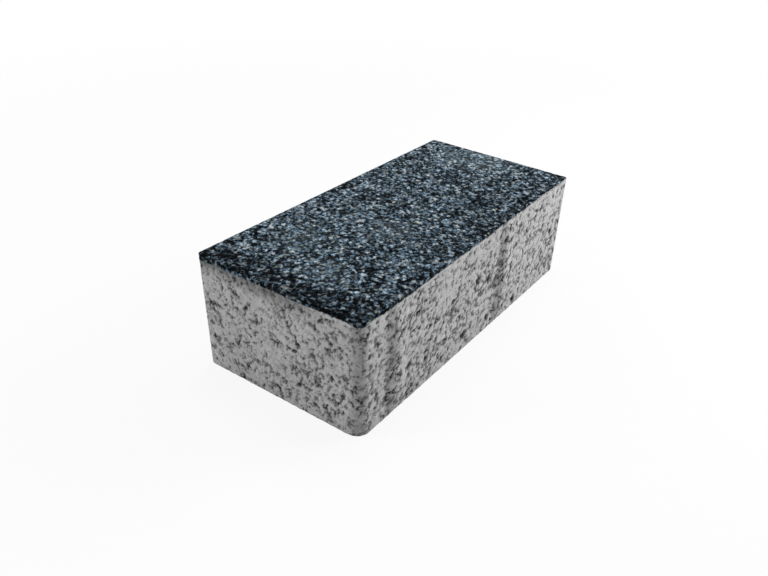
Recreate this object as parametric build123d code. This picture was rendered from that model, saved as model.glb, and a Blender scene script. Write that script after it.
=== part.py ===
from build123d import *
import os

# Rectangular two-layer concrete paver, in millimetres.
# X runs along the length and Z up, and the origin is the middle of the bed face.

# Body of the stone, without the spacer nibs
body_length = 197.0
body_width = 94.0
body_height = 62.0
corner_radius = 2.0
worn_corner_radius = 7.0
top_edge_rounding = 0.8

# Facing concrete, measured down from the wearing face
face_thickness = 3.0

# Spacer nibs, two upright ribs on each long side
nibs_per_side = 2
nib_width = 16.0
nib_projection = 1.5
nib_end_distance = 26.5
nib_spacing = 98.5
nib_top_depth = 6.0
nib_top_slope = 7.0
nib_bed_slope = 9.0
nib_root = 2.0

colour_line = body_height - face_thickness


def make_body():
    """The pressed block with rounded corners, of which the near one is worn rounder than the rest."""
    from_the_bed = (Align.CENTER, Align.CENTER, Align.MIN)
    block = Box(body_length, body_width, body_height, align=from_the_bed)
    near_corner = (-body_length / 2, -body_width / 2, body_height / 2)
    uprights = block.edges().filter_by(Axis.Z).sort_by_distance(near_corner)
    block = fillet(uprights[0], worn_corner_radius)
    uprights = block.edges().filter_by(Axis.Z).sort_by_distance(near_corner)
    block = fillet(uprights[-3:], corner_radius)
    return fillet(block.edges().group_by(Axis.Z)[-1], top_edge_rounding)


def make_nib():
    """One upright nib that faces -Y: a flat arc in plan, sloped back to the side at top and bed."""
    half = nib_width / 2
    crown = ThreePointArc((-half, 0), (0, -nib_projection), (half, 0))
    root = Polyline((half, 0), (half, nib_root), (-half, nib_root), (-half, 0))
    top = body_height - nib_top_depth
    upright = extrude(make_face(crown + root), top)
    side_view = Polyline(
        (nib_root, 0),
        (0, 0),
        (-nib_projection, nib_bed_slope),
        (-nib_projection, top - nib_top_slope),
        (0, top),
        (nib_root, top),
        close=True,
    )
    return upright & extrude(Plane.YZ * make_face(side_view), half, both=True)


def make_nibs():
    """All the nibs: those of the far side are the near side's turned half round."""
    first = -body_length / 2 + nib_end_distance
    near = [Pos(first + n * nib_spacing, -body_width / 2, 0) * make_nib() for n in range(nibs_per_side)]
    far = [Rot(0, 0, 180) * nib for nib in near]
    return near + far


# The block is pressed in one piece and told apart only by the colour of its two concretes,
# so both layers are cut from one body and share the face between them.
stone = make_body() + make_nibs()
between_layers = Plane.XY.offset(colour_line)
layers = {
    "base_layer": split(stone, bisect_by=between_layers, keep=Keep.BOTTOM),
    "face_layer": split(stone, bisect_by=between_layers, keep=Keep.TOP),
}

os.makedirs("parts", exist_ok=True)
for name, layer in layers.items():
    export_step(layer, f"parts/{name}.step")
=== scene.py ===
import math

import bmesh
import bpy
from mathutils import Matrix, Vector, noise


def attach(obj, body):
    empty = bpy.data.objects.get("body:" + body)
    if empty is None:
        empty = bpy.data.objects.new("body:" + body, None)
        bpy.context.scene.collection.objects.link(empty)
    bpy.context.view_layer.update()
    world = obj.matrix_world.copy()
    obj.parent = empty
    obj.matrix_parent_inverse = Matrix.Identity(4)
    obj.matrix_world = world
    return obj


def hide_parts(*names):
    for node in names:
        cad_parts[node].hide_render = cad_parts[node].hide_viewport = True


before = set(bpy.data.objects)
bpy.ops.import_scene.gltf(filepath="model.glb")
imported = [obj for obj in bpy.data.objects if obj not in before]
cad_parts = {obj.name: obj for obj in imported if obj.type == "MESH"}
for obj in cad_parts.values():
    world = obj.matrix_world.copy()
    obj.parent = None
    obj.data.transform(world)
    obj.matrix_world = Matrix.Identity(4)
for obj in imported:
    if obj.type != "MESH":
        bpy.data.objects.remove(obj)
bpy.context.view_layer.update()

# A pressed concrete paver in two layers, worked out in millimetres and brought to metres at the end.
# Numbers inside the relief and colour functions are the shares, sizes and limits that match the photograph.
MM = 0.001

# Sizes of the stone, as the frame has them
half_length = 98.5
half_width = 47.0
stone_height = 62.0
corner_radius = 2.0
worn_corner_radius = 7.0
edge_rounding = 0.8
colour_split = 59.0

# Nibs on the long sides, with their places along the stone on the near side (-1) and the far side (1)
nib_half_width = 8.0
nib_projection = 1.5
nib_arc_radius = (nib_half_width ** 2 + nib_projection ** 2) / (2 * nib_projection)
nib_top = 56.0
nib_top_slope = 7.0
nib_bed_slope = 9.0
nib_flank = 4.5
nib_places = {-1: (-72.0, 26.5), 1: (72.0, -26.5)}

# How near a point has to be to a side to touch it, and to count as a place of that side
touch = 0.01
side_reach = 3.0

# The sheet that is wrapped over the wearing face and its edge, down to the colour split
straight_run = stone_height - edge_rounding - colour_split
round_run = edge_rounding * math.pi / 2
fold = straight_run + round_run - edge_rounding
sheet_half_length = half_length + fold
sheet_half_width = half_width + fold
columns_long = 428
columns_wide = 208

# Rows up the sides of the base, the columns from one cut across its bed to the next, and how near a point
# has to be to a cut to lie on it
wall_rows = 68
bed_step = 4
cut_tolerance = 1e-4

# Depths below the wearing face between which its grains give way to the relief of the sides
grains_end = 1.6
grains_begin = 0.3

# The pressed grains of the sides are longer along the stone by a factor. Their seams and the lumps between
# them are listed as share, size and shift. The strength is that of the rough and smooth places below.
grain_length = 1.35
pressed_seams = ((0.75, 3.8, 3.0), (0.75, 2.2, 9.0))
pressed_lumps = ((0.40, 1.1, 31.0), (0.25, 2.1, 37.0), (0.10, 4.7, 41.0))
place_strength = 1.3

# Size of the wearing face's grains, a spread that makes each of them pale or dark by itself, and the
# paleness of the sides
facing_grain = 1.7
grain_spread = 53.1
middling_grain = 0.5

# Wear of the edge round the bed: how deep, and up to what height
bed_wear = 0.25
bed_wear_height = 1.4

# Without a seed the wandering noise would differ from run to run
noise_seed = 7
noise.seed_set(noise_seed)

# The way in which shifted clouds are moved
shift_way = Vector((1.0, -1.0, 0.37))

# Fine relief of the material, and a turn that keeps its noise from lining up with the stone
fine_relief = 0.35
noise_turn = (0.5, 0.4, 0.7)

# Finish of the two concretes. The facing's colours run from the gaps between its grains to the palest grain.
base_grey = 0.495
# Near-black painted shade for the base's pits, pores and cracks
pit_shade_colour = (0.030, 0.030, 0.030, 1)
washed_colour = (0.125, 0.155, 0.165, 1)
facing_ramp = (
    (0.0, (0.002, 0.0025, 0.003)),
    (0.24, (0.0045, 0.0065, 0.0085)),
    (0.42, (0.056, 0.082, 0.105)),
    (0.60, (0.155, 0.210, 0.255)),
    (0.80, (0.330, 0.395, 0.445)),
    (1.0, (0.52, 0.58, 0.62)),
)
dryness = 0.92
faint_shine = 0.03

# A rusty speck on the near corner, just below the facing
rust_place = (-96.7, -44.9, 57.9)
rust_colour = (0.28, 0.085, 0.045, 1)

# The stage, in metres
white = (1.0, 1.0, 1.0, 1.0)
floor_half_size = 3.0
floor_colour = (0.80, 0.80, 0.80, 1.0)
floor_whiteness = 0.88
white_floor_from = 0.15
white_floor_beyond = 0.80
world_strength = 0.34

# Square soft lamps: degrees round the stone and up, distance and size in metres, and power in watts
lamps = {
    "right_lamp": (50, 24, 0.62, 0.35, 2.82),
    "left_lamp": (-136, 28, 1.1, 0.5, 4.7),
    "top_lamp": (100, 72, 1.2, 0.7, 5.5),
}

# The photograph's camera: angles in radians, the rest in pixels and millimetres
image_width = 768
image_height = 576
sensor_width = 36
focal_pixels = 717.161
centre_x = 418.0964
centre_y = 323.4127
camera_azimuth = -1.009570
camera_elevation = 0.594770
camera_roll = 0.061990
camera_distance = 384.5377
aim_height = 40.0
aim_right = 7.3259
aim_up = -40.7639
clip_start = 10.0

# Where the sides are open and rough or, below zero, closed and smooth, as distance from the near upright
# edge, height, reach along and up, and amount
long_side_places = (
    (22.0, 26.0, 5.0, 40.0, 0.12),
    (41.0, 45.0, 6.0, 8.0, 0.20),
    (53.0, 14.0, 14.0, 16.0, 0.26),
    (76.0, 33.0, 10.0, 9.0, 0.18),
    (106.0, 34.0, 11.0, 9.0, 0.14),
    (88.0, 9.0, 16.0, 9.0, 0.16),
    (123.0, 30.0, 5.0, 34.0, 0.10),
    (185.0, 30.0, 9.0, 14.0, 0.14),
    (64.0, 45.0, 6.0, 6.0, -0.30),
    (76.0, 52.0, 7.0, 7.0, -0.12),
    (98.0, 55.0, 15.0, 6.0, -0.30),
    (174.0, 56.0, 15.0, 7.0, -0.12),
    (176.0, 43.0, 6.0, 6.0, -0.18),
    (163.0, 42.0, 7.0, 6.0, 0.20),
    (189.0, 6.0, 10.0, 9.0, 0.26),
    (7.0, 56.0, 6.0, 7.0, 0.25),
    (20.0, 6.0, 6.0, 6.0, 0.10),
    (75.0, 6.0, 12.0, 6.0, -0.22),
    (125.0, 57.0, 6.0, 6.0, 0.36),
    (20.0, 50.0, 6.0, 9.0, 0.16),
    (98.0, 30.0, 140.0, 60.0, 0.04),
    (13.0, 50.0, 4.0, 16.0, -0.18),
)
near_end_places = (
    (72.0, 41.0, 5.0, 5.0, 0.16),
    (41.0, 39.0, 7.0, 13.0, 0.20),
    (27.0, 28.0, 7.0, 9.0, 0.20),
    (18.0, 16.0, 16.0, 15.0, 0.24),
    (40.0, 14.0, 12.0, 11.0, 0.06),
    (70.0, 10.0, 7.0, 8.0, 0.16),
    (49.0, 23.0, 5.0, 6.0, -0.28),
    (61.0, 31.0, 7.0, 6.0, 0.10),
    (84.0, 34.0, 7.0, 14.0, -0.05),
    (60.0, 50.0, 8.0, 6.0, -0.12),
    (20.0, 31.0, 6.0, 6.0, -0.18),
    (20.0, 43.0, 7.0, 6.0, 0.28),
    (47.0, 31.0, 70.0, 50.0, -0.15),
)

# The largest pits, as distance from the near upright edge, height and radius
long_side_pits = (
    (37.0, 19.5, 1.6),
    (87.0, 9.5, 2.4),
    (97.5, 37.5, 2.0),
    (109.5, 32.5, 2.3),
    (122.5, 50.5, 1.8),
    (129.5, 48.5, 1.9),
    (51.5, 15.0, 1.5),
    (73.0, 36.0, 1.5),
    (112.0, 7.5, 2.0),
    (143.0, 4.0, 1.7),
    (183.0, 32.0, 1.6),
    (130.0, 26.0, 1.4),
    (42.0, 46.0, 1.5),
)
near_end_pits = (
    (35.0, 36.5, 1.3),
    (65.0, 44.0, 1.0),
    (71.0, 41.0, 1.0),
    (40.0, 44.0, 0.9),
    (10.0, 20.0, 1.2),
    (35.0, 14.0, 1.1),
)

# Where the wearing face is darker or, below zero, washed paler, as distance from the near end,
# place across, reach along and across, and amount
wearing_face_places = (
    (125.0, -23.0, 26.0, 9.0, 0.40),
    (172.0, -24.0, 11.0, 8.0, 0.32),
    (145.0, 41.0, 24.0, 8.0, 0.28),
    (38.0, -24.0, 9.0, 8.0, 0.22),
    (74.0, -8.0, 10.0, 9.0, -0.32),
    (25.0, -8.0, 9.0, 9.0, -0.25),
    (74.0, 39.0, 9.0, 8.0, 0.25),
    (108.0, -41.0, 14.0, 6.0, 0.22),
    (42.0, 23.0, 12.0, 9.0, -0.30),
    (172.0, 22.0, 12.0, 10.0, -0.28),
    (50.0, -41.0, 16.0, 6.0, -0.32),
    (184.0, 3.0, 14.0, 17.0, -0.42),
)

# Depth of the colour line below the wearing face, by the way round the stone: along the near end to the
# near upright edge at 94, along the long side to 291, and back along the hidden sides
colour_line = (
    (0, 3.6),
    (8, 3.0),
    (62, 2.8),
    (76, 2.0),
    (87, 2.0),
    (94, 4.0),
    (101, 1.9),
    (110, 2.8),
    (150, 2.2),
    (165, 1.9),
    (200, 1.8),
    (212, 0.95),
    (235, 0.9),
    (246, 0.4),
    (291, 0.4),
    (320, 1.6),
    (385, 2.6),
    (480, 1.7),
    (560, 2.6),
    (583, 3.6),
)


def smooth_step(value, low, high):
    """0 below low and 1 above high, with a smooth step between them."""
    t = min(max((value - low) / (high - low), 0.0), 1.0)
    return t * t * (3 - 2 * t)


def patch(off_along, off_across, reach_along, reach_across):
    """A soft oval: 1 in its middle, and less than a half at its reach."""
    return math.exp(-((off_along / reach_along) ** 2) - (off_across / reach_across) ** 2)


def cloud(p, size, shift=0.0):
    """Smooth noise of about -0.7 to 0.7 in lumps of that size, which differ from shift to shift."""
    return noise.noise(p / size + shift * shift_way)


def seams(p, grain, shift):
    """How near the meeting lines and corners of pressed grains a point lies, from about -0.4 to 0.4."""
    place = p / grain + Vector((shift, shift, shift))
    distances, _ = noise.voronoi(place + 0.30 * noise.noise_vector(place * 1.5))
    return distances[0] - 0.6 * (distances[1] - distances[0]) - 0.40


def corner_at(x, y):
    """Radius of the upright corner nearest to a place."""
    return worn_corner_radius if x < 0 and y < 0 else corner_radius


def edge_profile(run):
    """Inset from the side and height at a run up the side, over the rounded edge and across the top."""
    if run <= straight_run:
        return 0.0, colour_split + run
    turn = (run - straight_run) / edge_rounding
    if turn < math.pi / 2:
        return edge_rounding * (1 - math.cos(turn)), stone_height - edge_rounding * (1 - math.sin(turn))
    return run - fold, stone_height


def wrap(u, v):
    """Place on the stone of a point of the flat sheet, whose square rings become the stone's outlines."""
    from_end = sheet_half_length - abs(u)
    from_side = sheet_half_width - abs(v)
    on_end = from_end < from_side
    run = min(from_end, from_side)
    inset, z = edge_profile(run)
    radius = max(corner_at(u, v) - inset, 0.0)
    along, sheet_half = (abs(v), sheet_half_width) if on_end else (abs(u), sheet_half_length)
    straight = (half_width if on_end else half_length) - inset - radius
    middle = Vector((half_length - inset - radius, half_width - inset - radius))
    if along <= straight or radius == 0:
        x, y = (middle.x + radius, along) if on_end else (along, middle.y + radius)
    else:
        turn = math.pi / 4 * (along - straight) / (sheet_half - run - straight)
        turn = turn if on_end else math.pi / 2 - turn
        x, y = middle.x + radius * math.cos(turn), middle.y + radius * math.sin(turn)
    return Vector((math.copysign(x, u), math.copysign(y, v), z))


def corner_offset(p):
    """How far a point lies beyond the middle of its corner's rounding along X and Y, and the radius there."""
    radius = corner_at(p.x, p.y)
    x = max(abs(p.x) - half_length + radius, 0)
    y = max(abs(p.y) - half_width + radius, 0)
    return Vector((math.copysign(x, p.x), math.copysign(y, p.y), 0)), radius


def side_normal(p):
    """Direction straight out of the stone's side at a point of it, round the corners too."""
    return corner_offset(p)[0].normalized()


def on_side(p):
    """Whether a point of the block lies on one of its sides."""
    offset, radius = corner_offset(p)
    return offset.length > radius - touch


def side_place(p):
    """Distance of a point of a visible side from the near upright edge, and the lists for that side."""
    if p.y < -half_width + side_reach and p.x > -half_length + side_reach:
        return p.x + half_length, long_side_places, long_side_pits
    if p.x < -half_length + side_reach:
        return p.y + half_width, near_end_places, near_end_pits
    return 0.0, (), ()


def above_line(p, rise):
    """How far a point is above the colour line, from its rise: its height, counted on over the edge."""
    half_round = half_length + half_width
    hidden = p.x / half_length + p.y / half_width > 0
    way = 3 * half_round - (p.x - p.y) if hidden else half_round + (p.x - p.y)
    for (start, here), (end, there) in zip(colour_line, colour_line[1:]):
        if way <= end:
            break
    depth = here + (there - here) * (way - start) / (end - start)
    return rise - stone_height + depth + 0.35 * cloud(p, 6.0, 3.0)


def nib_height(p):
    """How far a nib stands proud at a point of a long side."""
    if abs(p.y) < half_width - touch:
        return 0.0
    for place in nib_places[-1 if p.y < 0 else 1]:
        off = abs(p.x - place)
        if off < nib_half_width:
            arc = math.sqrt(nib_arc_radius ** 2 - off ** 2) - (nib_arc_radius - nib_projection)
            from_bed = nib_projection * p.z / nib_bed_slope
            from_top = nib_projection * max(nib_top - p.z, 0) / nib_top_slope
            return min(arc, from_bed, from_top)
    return 0.0


def nib_shade(p):
    """Nearness to the open, pitted flank of a nib, which faces the near end on the near side."""
    if abs(p.y) < half_width - side_reach:
        return 0.0
    side = -1 if p.y < 0 else 1
    off = min(abs(p.x - place - side * nib_flank) for place in nib_places[side])
    return 1 - smooth_step(off, 1.0, 4.8)


def openness(p):
    """How open the pressed surface is at a point of a side, from 0 where it is closed to about 1."""
    along, places, _ = side_place(p)
    rough = 0.50 + 0.30 * cloud(p, 9.0) + 0.20 * cloud(p, 4.3, 3.0) + 0.12 * nib_shade(p)
    for at, up, reach_along, reach_up, amount in places:
        rough += place_strength * amount * patch(along - at, p.z - up, reach_along, reach_up)
    return min(max(rough, 0.0), 1.1)


def largest_pit(p):
    """How far into one of the largest pits a point lies, from 0 to 1."""
    along, _, pits = side_place(p)
    depth = 0.0
    for at, up, radius in pits:
        off = math.hypot(along - at, 1.2 * (p.z - up)) * (1 + 0.7 * cloud(p, 1.6, 2.0))
        depth = max(depth, 1 - smooth_step(off / radius, 0.5, 1.5))
    return depth


def side_relief(p):
    """Depth of the side below its CAD surface, and how much of a hollow and of a large pit it is."""
    rough = openness(p)
    drawn = Vector((p.x / grain_length, p.y, p.z))
    shape = sum(share * seams(drawn, grain, shift) for share, grain, shift in pressed_seams)
    shape += sum(share * cloud(drawn, size, shift) for share, size, shift in pressed_lumps)
    shape = (0.55 + 0.85 * rough) * shape + 0.34 * (rough - 0.48)
    pit = largest_pit(p)
    hollow = max(pit, 0.20 * smooth_step(shape, -0.5, 0.1) + 0.80 * smooth_step(shape, 0.04, 0.46))
    keep = smooth_step(abs(p.z - colour_split), 0.15, 1.2)
    from_corner = max(half_length - abs(p.x), half_width - abs(p.y))
    calm = (0.2 + 0.8 * smooth_step(p.z, 0.3, 3.0)) * (0.4 + 0.6 * smooth_step(from_corner, 1.0, 6.0))
    swell = 0.05 * (1 + cloud(p, 14.0, 2.0)) + 0.05 * (1 + cloud(p, 3.3, 6.0))
    depth = swell + keep * calm * (0.55 * hollow + 0.50 * pit)
    return depth, hollow * (0.3 + 0.7 * keep), pit * keep


def top_relief(p):
    """Depth of the granular wearing face, how much of a hollow it is, and the paleness of its grain."""
    distances, centres = noise.voronoi(p / facing_grain + 0.3 * noise.noise_vector(p / 1.1))
    between_grains = min(1.0, 1.5 * distances[0] ** 2)
    pale = abs(noise.cell(centres[0] * grain_spread))
    lump = 0.5 + 0.7 * cloud(p, 2.6, 4.0)
    missing = smooth_step(seams(p, 3.4, 5.0), 0.22, 0.46)
    rim = min(half_length - abs(p.x), half_width - abs(p.y))
    calm = 0.35 + 0.65 * smooth_step(rim, 0.5, 3.5)
    depth = calm * (0.26 * between_grains + 0.22 * lump + 0.40 * missing)
    return max(0.0, depth), min(1.0, 0.7 * between_grains + 0.7 * missing), pale


def edge_wear(p):
    """How far the edge round the bed is worn off at a point of a side."""
    low = max(0.0, 1 - p.z / bed_wear_height)
    return bed_wear * low * low * (1 + 0.9 * cloud(p, 2.6))


def bed_relief(p):
    """Height of the pitted bed above the ground."""
    return 0.25 * (1 + cloud(p, 3.0)) + 0.9 * smooth_step(seams(p, 4.0, 2.0), 0.15, 0.45)


def top_shade_and_patches(p):
    """Painted shade along the near end and near side of the wearing face, with darker and paler patches."""
    # Painted shade in bands along the near end and the near side, where the edge faces away from the lamps
    near_end = 1 - smooth_step(p.x + half_length + 2.0 * cloud(p, 6.0, 25.0), 10.5, 16.0)
    near_side = 1 - smooth_step(p.y + half_width + 2.0 * cloud(p, 5.0, 27.0), 4.0, 11.0)
    dull = max(0.8 * near_end, 0.6 * near_side)
    for along, across, reach_along, reach_across, amount in wearing_face_places:
        dull += amount * patch(p.x + half_length - along, p.y - across, reach_along, reach_across)
    return dull


def soil(p):
    """Painted shade on the sides: how much darker a side is painted than its concrete, from 0 to 1.

    It paints shade on nib flanks facing the near end, on the worn corner, and below the near end's facing.
    """
    ragged = 1 + 0.5 * cloud(p, 3.0, 21.0)
    from_corner = math.hypot(p.x + half_length, p.y + half_width)
    corner_middle = worn_corner_radius * (math.sqrt(2) - 1)
    # Painted shade down the worn corner, which faces away from both side lamps
    corner = 0.32 * (1 - smooth_step(abs(from_corner - corner_middle), 0.2, 3.4))
    # Painted shade below the facing of the near end
    shade_below_facing = 0.95 * smooth_step(p.z, 50.0, 59.5) * smooth_step(p.y, -32.0, -5.0)
    near_end = 1 - smooth_step(p.x + half_length, 1.0, 6.0)
    # Painted shade on the nib flanks that face away from the right lamp
    return min(1.0, max(0.50 * nib_shade(p), corner, near_end * shade_below_facing) * ragged)


def finished_piece(name, bm, node, material):
    """A piece for a CAD node from a bmesh in millimetres."""
    bmesh.ops.recalc_face_normals(bm, faces=bm.faces[:])
    bmesh.ops.scale(bm, vec=(MM, MM, MM), verts=bm.verts[:])
    for face in bm.faces:
        face.smooth = True
    mesh = bpy.data.meshes.new(name)
    bm.to_mesh(mesh)
    bm.free()
    piece = bpy.data.objects.new(name, mesh)
    bpy.context.scene.collection.objects.link(piece)
    mesh.materials.append(material)
    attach(piece, "root")
    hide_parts(node)
    return piece


def close_ring(bm):
    """Closes an open ring by one flat face with sharp edges, where the two layers meet."""
    ring = [e for e in bm.edges if e.is_boundary]
    for edge in ring:
        edge.smooth = False
    bmesh.ops.contextual_create(bm, geom=ring)


def sheet(bm):
    """The flat sheet in squares.

    The squares of its corners are halved so that neither half folds flat onto the layer below.
    """
    place = Matrix.Diagonal((sheet_half_length, sheet_half_width, 1, 1))
    bmesh.ops.create_grid(bm, x_segments=columns_long, y_segments=columns_wide, size=1, matrix=place)
    for corner in [v for v in bm.verts if len(v.link_faces) == 1]:
        inner = next(v for v in corner.link_faces[0].verts if not v.is_boundary)
        bmesh.ops.connect_verts(bm, verts=[corner, inner])


def cut_bed(bm, across, columns, half, ring_place):
    """Cuts the bed in parallel lines through every few points of its outline."""
    last = columns // 2 // bed_step
    for k in range(-last, last + 1):
        place = ring_place(2 * half / columns * bed_step * k)
        place.z = 0
        everything = bm.verts[:] + bm.edges[:] + bm.faces[:]
        bmesh.ops.bisect_plane(bm, geom=everything, dist=cut_tolerance, plane_co=place, plane_no=across)


def point_values(bm):
    """The values that both pieces carry at their points for the material."""
    names = ("hollow", "pit", "pale", "above_line", "soil", "dull")
    return {name: bm.verts.layers.float.new(name) for name in names}


def make_facing(material):
    """The facing concrete, with its grains."""
    bm = bmesh.new()
    sheet(bm)
    values = point_values(bm)
    for vert in bm.verts:
        run = min(sheet_half_length - abs(vert.co.x), sheet_half_width - abs(vert.co.y))
        vert.co = wrap(vert.co.x, vert.co.y)
        vert[values["above_line"]] = above_line(vert.co, colour_split + run)
    bm.normal_update()
    for vert in bm.verts:
        p = vert.co.copy()
        upper = smooth_step(p.z, stone_height - grains_end, stone_height - grains_begin)
        top_depth, top_hollow, pale = top_relief(p)
        depth, hollow, pit = (0.0, 0.0, 0.0) if upper == 1 else side_relief(p)
        depth += (top_depth - depth) * upper
        hollow += (top_hollow - hollow) * upper
        out = side_normal(p) if p.z < colour_split + touch else vert.normal
        vert.co = p - out * depth
        vert[values["hollow"]] = hollow
        vert[values["pit"]] = pit
        vert[values["pale"]] = pale
        vert[values["dull"]] = top_shade_and_patches(p)
        vert[values["soil"]] = soil(p)
    close_ring(bm)
    return finished_piece("facing", bm, "face_layer", material)


def make_base(material):
    """The base concrete, with its nibs and pits, whose upper outline has the same points as the facing."""
    bm = bmesh.new()
    sheet(bm)
    bmesh.ops.delete(bm, geom=[v for v in bm.verts if not v.is_boundary], context="VERTS")
    for vert in bm.verts:
        vert.co = wrap(vert.co.x, vert.co.y)
        vert.co.z = 0
    bmesh.ops.contextual_create(bm, geom=bm.edges[:])
    cut_bed(bm, Vector((1, 0, 0)), columns_long, sheet_half_length, lambda u: wrap(u, sheet_half_width))
    cut_bed(bm, Vector((0, 1, 0)), columns_wide, sheet_half_width, lambda v: wrap(sheet_half_length, v))
    foot = [e for e in bm.edges if e.is_boundary]
    extruded = bmesh.ops.extrude_edge_only(bm, edges=foot)["geom"]
    raised = [g for g in extruded if isinstance(g, bmesh.types.BMVert)]
    bmesh.ops.translate(bm, vec=(0, 0, colour_split), verts=raised)
    uprights = [e for e in bm.edges if abs(e.verts[0].co.z - e.verts[1].co.z) > 1]
    bmesh.ops.subdivide_edges(bm, edges=uprights, cuts=wall_rows - 1)
    values = point_values(bm)
    for vert in bm.verts:
        p = vert.co.copy()
        vert[values["above_line"]] = above_line(p, p.z)
        if on_side(p):
            depth, vert[values["hollow"]], vert[values["pit"]] = side_relief(p)
            vert[values["pale"]] = middling_grain
            vert[values["soil"]] = soil(p)
            vert.co = p + side_normal(p) * (nib_height(p) - depth - edge_wear(p))
        else:
            vert.co.z = bed_relief(p)
    close_ring(bm)
    return finished_piece("base_block", bm, "base_layer", material)


class Socket:
    """An output socket in arithmetic: an expression on it adds the Math nodes that work it out."""

    def __init__(self, nodes, link):
        self.nodes = nodes
        self.link = link

    def math(self, operation, *values):
        return self.nodes.add("ShaderNodeMath", {"operation": operation}, dict(enumerate(values)))

    def __add__(self, other):
        return self.math("ADD", self, other)

    def __mul__(self, other):
        return self.math("MULTIPLY", self, other)

    def __sub__(self, other):
        return self.math("SUBTRACT", self, other)

    def __rsub__(self, other):
        return self.math("SUBTRACT", other, self)

    __radd__ = __add__
    __rmul__ = __mul__

    def larger(self, other):
        return self.math("MAXIMUM", self, other)

    def between(self, low, high):
        """0 below low and 1 above high, with a smooth step between them."""
        settings = {"interpolation_type": "SMOOTHSTEP"}
        sockets = {"Value": self, "From Min": low, "From Max": high}
        return self.nodes.add("ShaderNodeMapRange", settings, sockets)


class Nodes:
    """A node tree in the making."""

    def __init__(self, tree):
        self.tree = tree

    def add(self, kind, settings=None, sockets=None, output=0):
        """Adds a node, first its settings and then its sockets' values or links, and returns an output."""
        node = self.tree.nodes.new(kind)
        for name, value in (settings or {}).items():
            if name == "stops":
                ramp = node.color_ramp.elements
                while len(ramp) < len(value):
                    ramp.new(0.5)
                for element, (position, colour) in zip(ramp, value):
                    element.position = position
                    element.color = colour + (1,)
            else:
                setattr(node, name, value)
        for name, value in (sockets or {}).items():
            if isinstance(value, Socket):
                self.tree.links.new(value.link, node.inputs[name])
            else:
                node.inputs[name].default_value = value
        return Socket(self, node.outputs[output]) if node.outputs else None


class Finish(Nodes):
    """A material in the making. Sizes in it are in millimetres."""

    def __init__(self, name):
        self.material = bpy.data.materials.new(name)
        self.material.use_nodes = True
        super().__init__(self.material.node_tree)
        self.tree.nodes.clear()
        coordinates = self.add("ShaderNodeTexCoord", output="Object")
        self.place = self.scaled(coordinates, 1 / MM)

    def attribute(self, name):
        """A value that the mesh carries at its points."""
        return self.add("ShaderNodeAttribute", {"attribute_name": name}, output="Fac")

    def drawn(self, size, length, shift):
        """The place in units of a size, longer along the stone by a factor, turned and shifted."""
        units = (1 / size / length, 1 / size, 1 / size)
        sockets = {"Vector": self.place, "Location": (shift,) * 3, "Rotation": noise_turn, "Scale": units}
        return self.add("ShaderNodeMapping", {}, sockets)

    def noise(self, size, detail=2.0, roughness=0.5, length=1.0, shift=0.0):
        """Cloudy noise in lumps of about that size, longer along the stone by a factor."""
        place = self.drawn(size, length, shift)
        sockets = {"Vector": place, "Scale": 1.0, "Detail": detail, "Roughness": roughness}
        return self.add("ShaderNodeTexNoise", {}, sockets)

    def cracks(self, size, length, shift, low, high):
        """Thin lines between cells of about that size, from 0 to 1 in the middle of a line."""
        place = self.drawn(size, length, shift)
        sockets = {"Vector": place, "Scale": 1.3, "Detail": 1.0}
        wander = self.scaled(self.add("ShaderNodeTexNoise", {}, sockets, output="Color"), 0.8)
        wandering = self.add("ShaderNodeVectorMath", {"operation": "ADD"}, {0: place, 1: wander})
        sockets = {"Vector": wandering, "Scale": 1.0}
        edge = self.add("ShaderNodeTexVoronoi", {"feature": "DISTANCE_TO_EDGE"}, sockets)
        return 1 - edge.between(low, high)

    def grey(self, value):
        """A grey of that value."""
        return self.add("ShaderNodeCombineColor", {}, {0: value, 1: value, 2: value})

    def mix(self, factor, a, b):
        """A colour between two others."""
        return self.add("ShaderNodeMix", {"data_type": "RGBA"}, {0: factor, 6: a, 7: b}, output=2)

    def scaled(self, vector, factor):
        """A colour or a place times a number."""
        return self.add("ShaderNodeVectorMath", {"operation": "SCALE"}, {0: vector, "Scale": factor})

    def close(self, colour, bump_height):
        """The dry, dull surface itself, from its colour and its fine relief."""
        bump = {"Strength": 1.0, "Distance": fine_relief * MM, "Height": bump_height}
        look = {
            "Base Color": colour,
            "Roughness": dryness,
            "Specular IOR Level": faint_shine,
            "Normal": self.add("ShaderNodeBump", {}, bump),
        }
        surface = self.add("ShaderNodeBsdfPrincipled", {}, look)
        self.add("ShaderNodeOutputMaterial", {}, {"Surface": surface})
        return self.material


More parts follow.
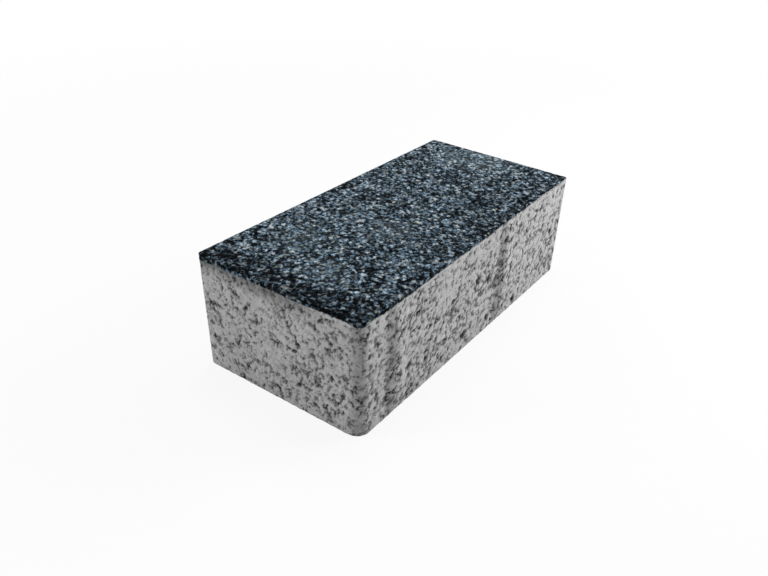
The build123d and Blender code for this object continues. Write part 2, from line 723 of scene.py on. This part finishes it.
def base_colours(f):
    """Grey base concrete: its colour, and its fine relief."""
    hollow = f.attribute("hollow")
    clouds = f.noise(16, detail=2)
    mottle = f.noise(3.5, detail=3, roughness=0.6, shift=9.0)
    grain = f.noise(0.7, detail=2, roughness=0.6, length=grain_length, shift=13.0)
    dots = f.noise(1.1, detail=1, length=grain_length, shift=21.0).between(0.61, 0.72) * (1 - hollow)
    open_grain = hollow.between(0.10, 0.45) * f.noise(3.0, detail=1, shift=27.0).between(0.40, 0.55)
    cracks = f.cracks(2.4, grain_length, 33.0, 0.03, 0.14) * open_grain
    tone = base_grey + 0.12 * (clouds - 0.5) + 0.16 * (mottle - 0.5) + 0.34 * (grain - 0.5)
    # Painted shade: darker on nib flanks, at the worn corner and below the near end's facing
    tone = tone * (1 - 0.62 * f.attribute("soil"))
    # Painted shade in the hollows, pores and cracks, and deeper painted shade in the largest pits
    recess_shade = (0.82 * hollow + 0.68 * dots + 0.44 * cracks) * (1 + 0.9 * (grain - 0.5))
    colour = f.mix(recess_shade * 0.90, f.grey(tone), pit_shade_colour)
    colour = f.scaled(colour, 1 - 0.75 * f.attribute("pit"))
    ends = {0: f.place, 1: rust_place}
    from_rust = f.add("ShaderNodeVectorMath", {"operation": "DISTANCE"}, ends, output="Value")
    rusty = 1 - (from_rust + 1.6 * (grain - 0.5)).between(0.5, 1.3)
    colour = f.mix(rusty * 0.8, colour, rust_colour)
    relief = grain * 0.40 - dots * 0.45 - cracks * 0.35
    return colour, relief


def facing_colours(f):
    """Near-black facing concrete with pale blue-grey grain: its colour, and its fine relief."""
    hollow = f.attribute("hollow")
    pale = f.attribute("pale")
    dull = f.attribute("dull")
    fine = f.noise(1.3, detail=2, roughness=0.6, shift=2.0)
    lumps = f.noise(2.4, detail=2, roughness=0.7, shift=6.0)
    clouds = f.noise(7, detail=3, roughness=0.6)
    warm = 1.3 * (f.noise(1.8, detail=2, roughness=0.6, shift=17.0) - 0.5)
    value = 0.425 + 0.36 * (pale - 0.5) + 0.18 * (pale.between(0.82, 0.90) - 0.14)
    value = value + 1.22 * (fine - 0.5) + 1.30 * (lumps - 0.5) + 0.6 * (clouds - 0.5)
    # Painted shade along the near edges and in the gaps and missing grains, with darker patches elsewhere
    value = value - 0.09 * dull - 0.30 * (hollow - 0.25)
    colour = f.add("ShaderNodeValToRGB", {"stops": facing_ramp}, {"Fac": value})
    tint = f.add("ShaderNodeCombineColor", {}, {0: 1 + warm, 1: 1.0, 2: 1 - warm})
    colour = f.add("ShaderNodeVectorMath", {"operation": "MULTIPLY"}, {0: colour, 1: tint})
    # More painted shade along the near edges and in the hollows; below zero the colour is washed paler
    colour = f.scaled(colour, (1 - 0.44 * dull) * (1 - 0.75 * hollow.between(0.35, 1.0)))
    washed = (dull * -0.6).larger(0.0)
    colour = f.mix(washed, colour, washed_colour)
    relief = value * 0.5 - hollow * 0.3
    return colour, relief


def make_finish(name):
    """Both concretes in one material, told apart by a wavy line that climbs to the top edge."""
    f = Finish(name)
    base, base_relief = base_colours(f)
    facing, facing_relief = facing_colours(f)
    ragged = 1.6 * (f.noise(1.6, detail=2, shift=5.0) - 0.5)
    is_facing = (f.attribute("above_line") + ragged).between(-0.3, 0.3)
    colour = f.mix(is_facing, base, facing)
    relief = base_relief + is_facing * (facing_relief - base_relief)
    return f.close(colour, relief)


def white_to_the_camera(tree, dimmed, plain, share):
    """Mixes in plain white for what the camera sees straight, in a gloss or through glass."""
    path = Nodes(tree)
    straight = path.add("ShaderNodeLightPath", output="Is Camera Ray")
    glossy = path.add("ShaderNodeLightPath", output="Is Glossy Ray")
    through = path.add("ShaderNodeLightPath", output="Is Transmission Ray")
    seen = straight.larger(glossy).larger(through) * share(path)
    return path.add("ShaderNodeMixShader", {}, {0: seen, 1: dimmed(path), 2: plain(path)})


def floor_share(path):
    """Share of plain white in the floor, which grows to all of it away from the stone."""
    place = path.add("ShaderNodeTexCoord", output="Object")
    away = path.add("ShaderNodeVectorMath", {"operation": "LENGTH"}, {0: place}, output="Value")
    return floor_whiteness + (1 - floor_whiteness) * away.between(white_floor_from, white_floor_beyond)


def make_floor():
    """A pale floor that keeps the stone's shadow and otherwise shows white."""
    bm = bmesh.new()
    bmesh.ops.create_grid(bm, x_segments=1, y_segments=1, size=floor_half_size)
    mesh = bpy.data.meshes.new("floor")
    bm.to_mesh(mesh)
    bm.free()
    floor = bpy.data.objects.new("floor", mesh)
    bpy.context.scene.collection.objects.link(floor)
    material = bpy.data.materials.new("floor")
    material.use_nodes = True
    material.node_tree.nodes.clear()
    seen = white_to_the_camera(
        material.node_tree,
        lambda n: n.add("ShaderNodeBsdfDiffuse", {}, {"Color": floor_colour}),
        lambda n: n.add("ShaderNodeEmission", {}, {"Color": white, "Strength": 1.0}),
        floor_share,
    )
    seen.nodes.add("ShaderNodeOutputMaterial", {}, {"Surface": seen})
    mesh.materials.append(material)


def make_world():
    """White light from all round, seen as plain white."""
    world = bpy.data.worlds.new("studio")
    world.use_nodes = True
    world.node_tree.nodes.clear()
    seen = white_to_the_camera(
        world.node_tree,
        lambda n: n.add("ShaderNodeBackground", {}, {"Color": white, "Strength": world_strength}),
        lambda n: n.add("ShaderNodeBackground", {}, {"Color": white, "Strength": 1.0}),
        lambda n: 1.0,
    )
    seen.nodes.add("ShaderNodeOutputWorld", {}, {"Surface": seen})
    bpy.context.scene.world = world


def direction(azimuth, elevation):
    """From the stone: azimuth 0 is the -Y side and a quarter turn the +X side."""
    flat = math.cos(elevation)
    return Vector((math.sin(azimuth) * flat, -math.cos(azimuth) * flat, math.sin(elevation)))


def make_lamp(name, azimuth, elevation, distance, size, power):
    """A square soft lamp that faces the middle of the stone."""
    towards = direction(math.radians(azimuth), math.radians(elevation))
    light = bpy.data.lights.new(name, "AREA")
    light.shape = "SQUARE"
    light.size = size
    light.energy = power
    lamp = bpy.data.objects.new(name, light)
    bpy.context.scene.collection.objects.link(lamp)
    lamp.location = Vector((0, 0, stone_height / 2 * MM)) + towards * distance
    lamp.rotation_euler = towards.to_track_quat("Z", "Y").to_euler()


def make_camera():
    """The photograph's camera, fitted to the straight edges of the stone."""
    back = direction(camera_azimuth, camera_elevation)
    level = Vector((math.cos(camera_azimuth), math.sin(camera_azimuth), 0))
    upright = back.cross(level)
    right = math.cos(camera_roll) * level + math.sin(camera_roll) * upright
    up = math.cos(camera_roll) * upright - math.sin(camera_roll) * level
    place = (Vector((0, 0, aim_height)) + aim_right * right + aim_up * up + camera_distance * back) * MM
    data = bpy.data.cameras.new("camera")
    data.sensor_width = sensor_width
    data.lens = focal_pixels * sensor_width / image_width
    data.shift_x = (image_width / 2 - centre_x) / image_width
    data.shift_y = (centre_y - image_height / 2) / image_width
    data.clip_start = clip_start * MM
    camera = bpy.data.objects.new("camera", data)
    bpy.context.scene.collection.objects.link(camera)
    camera.matrix_world = Matrix.Translation(place) @ Matrix((right, up, back)).transposed().to_4x4()
    bpy.context.scene.camera = camera


base_finish = make_finish("base_concrete")
facing_finish = make_finish("facing_concrete")
make_base(base_finish)
make_facing(facing_finish)

make_floor()
make_world()
for lamp_name, lamp_values in lamps.items():
    make_lamp(lamp_name, *lamp_values)
make_camera()
bpy.context.scene.view_settings.view_transform = "Standard"
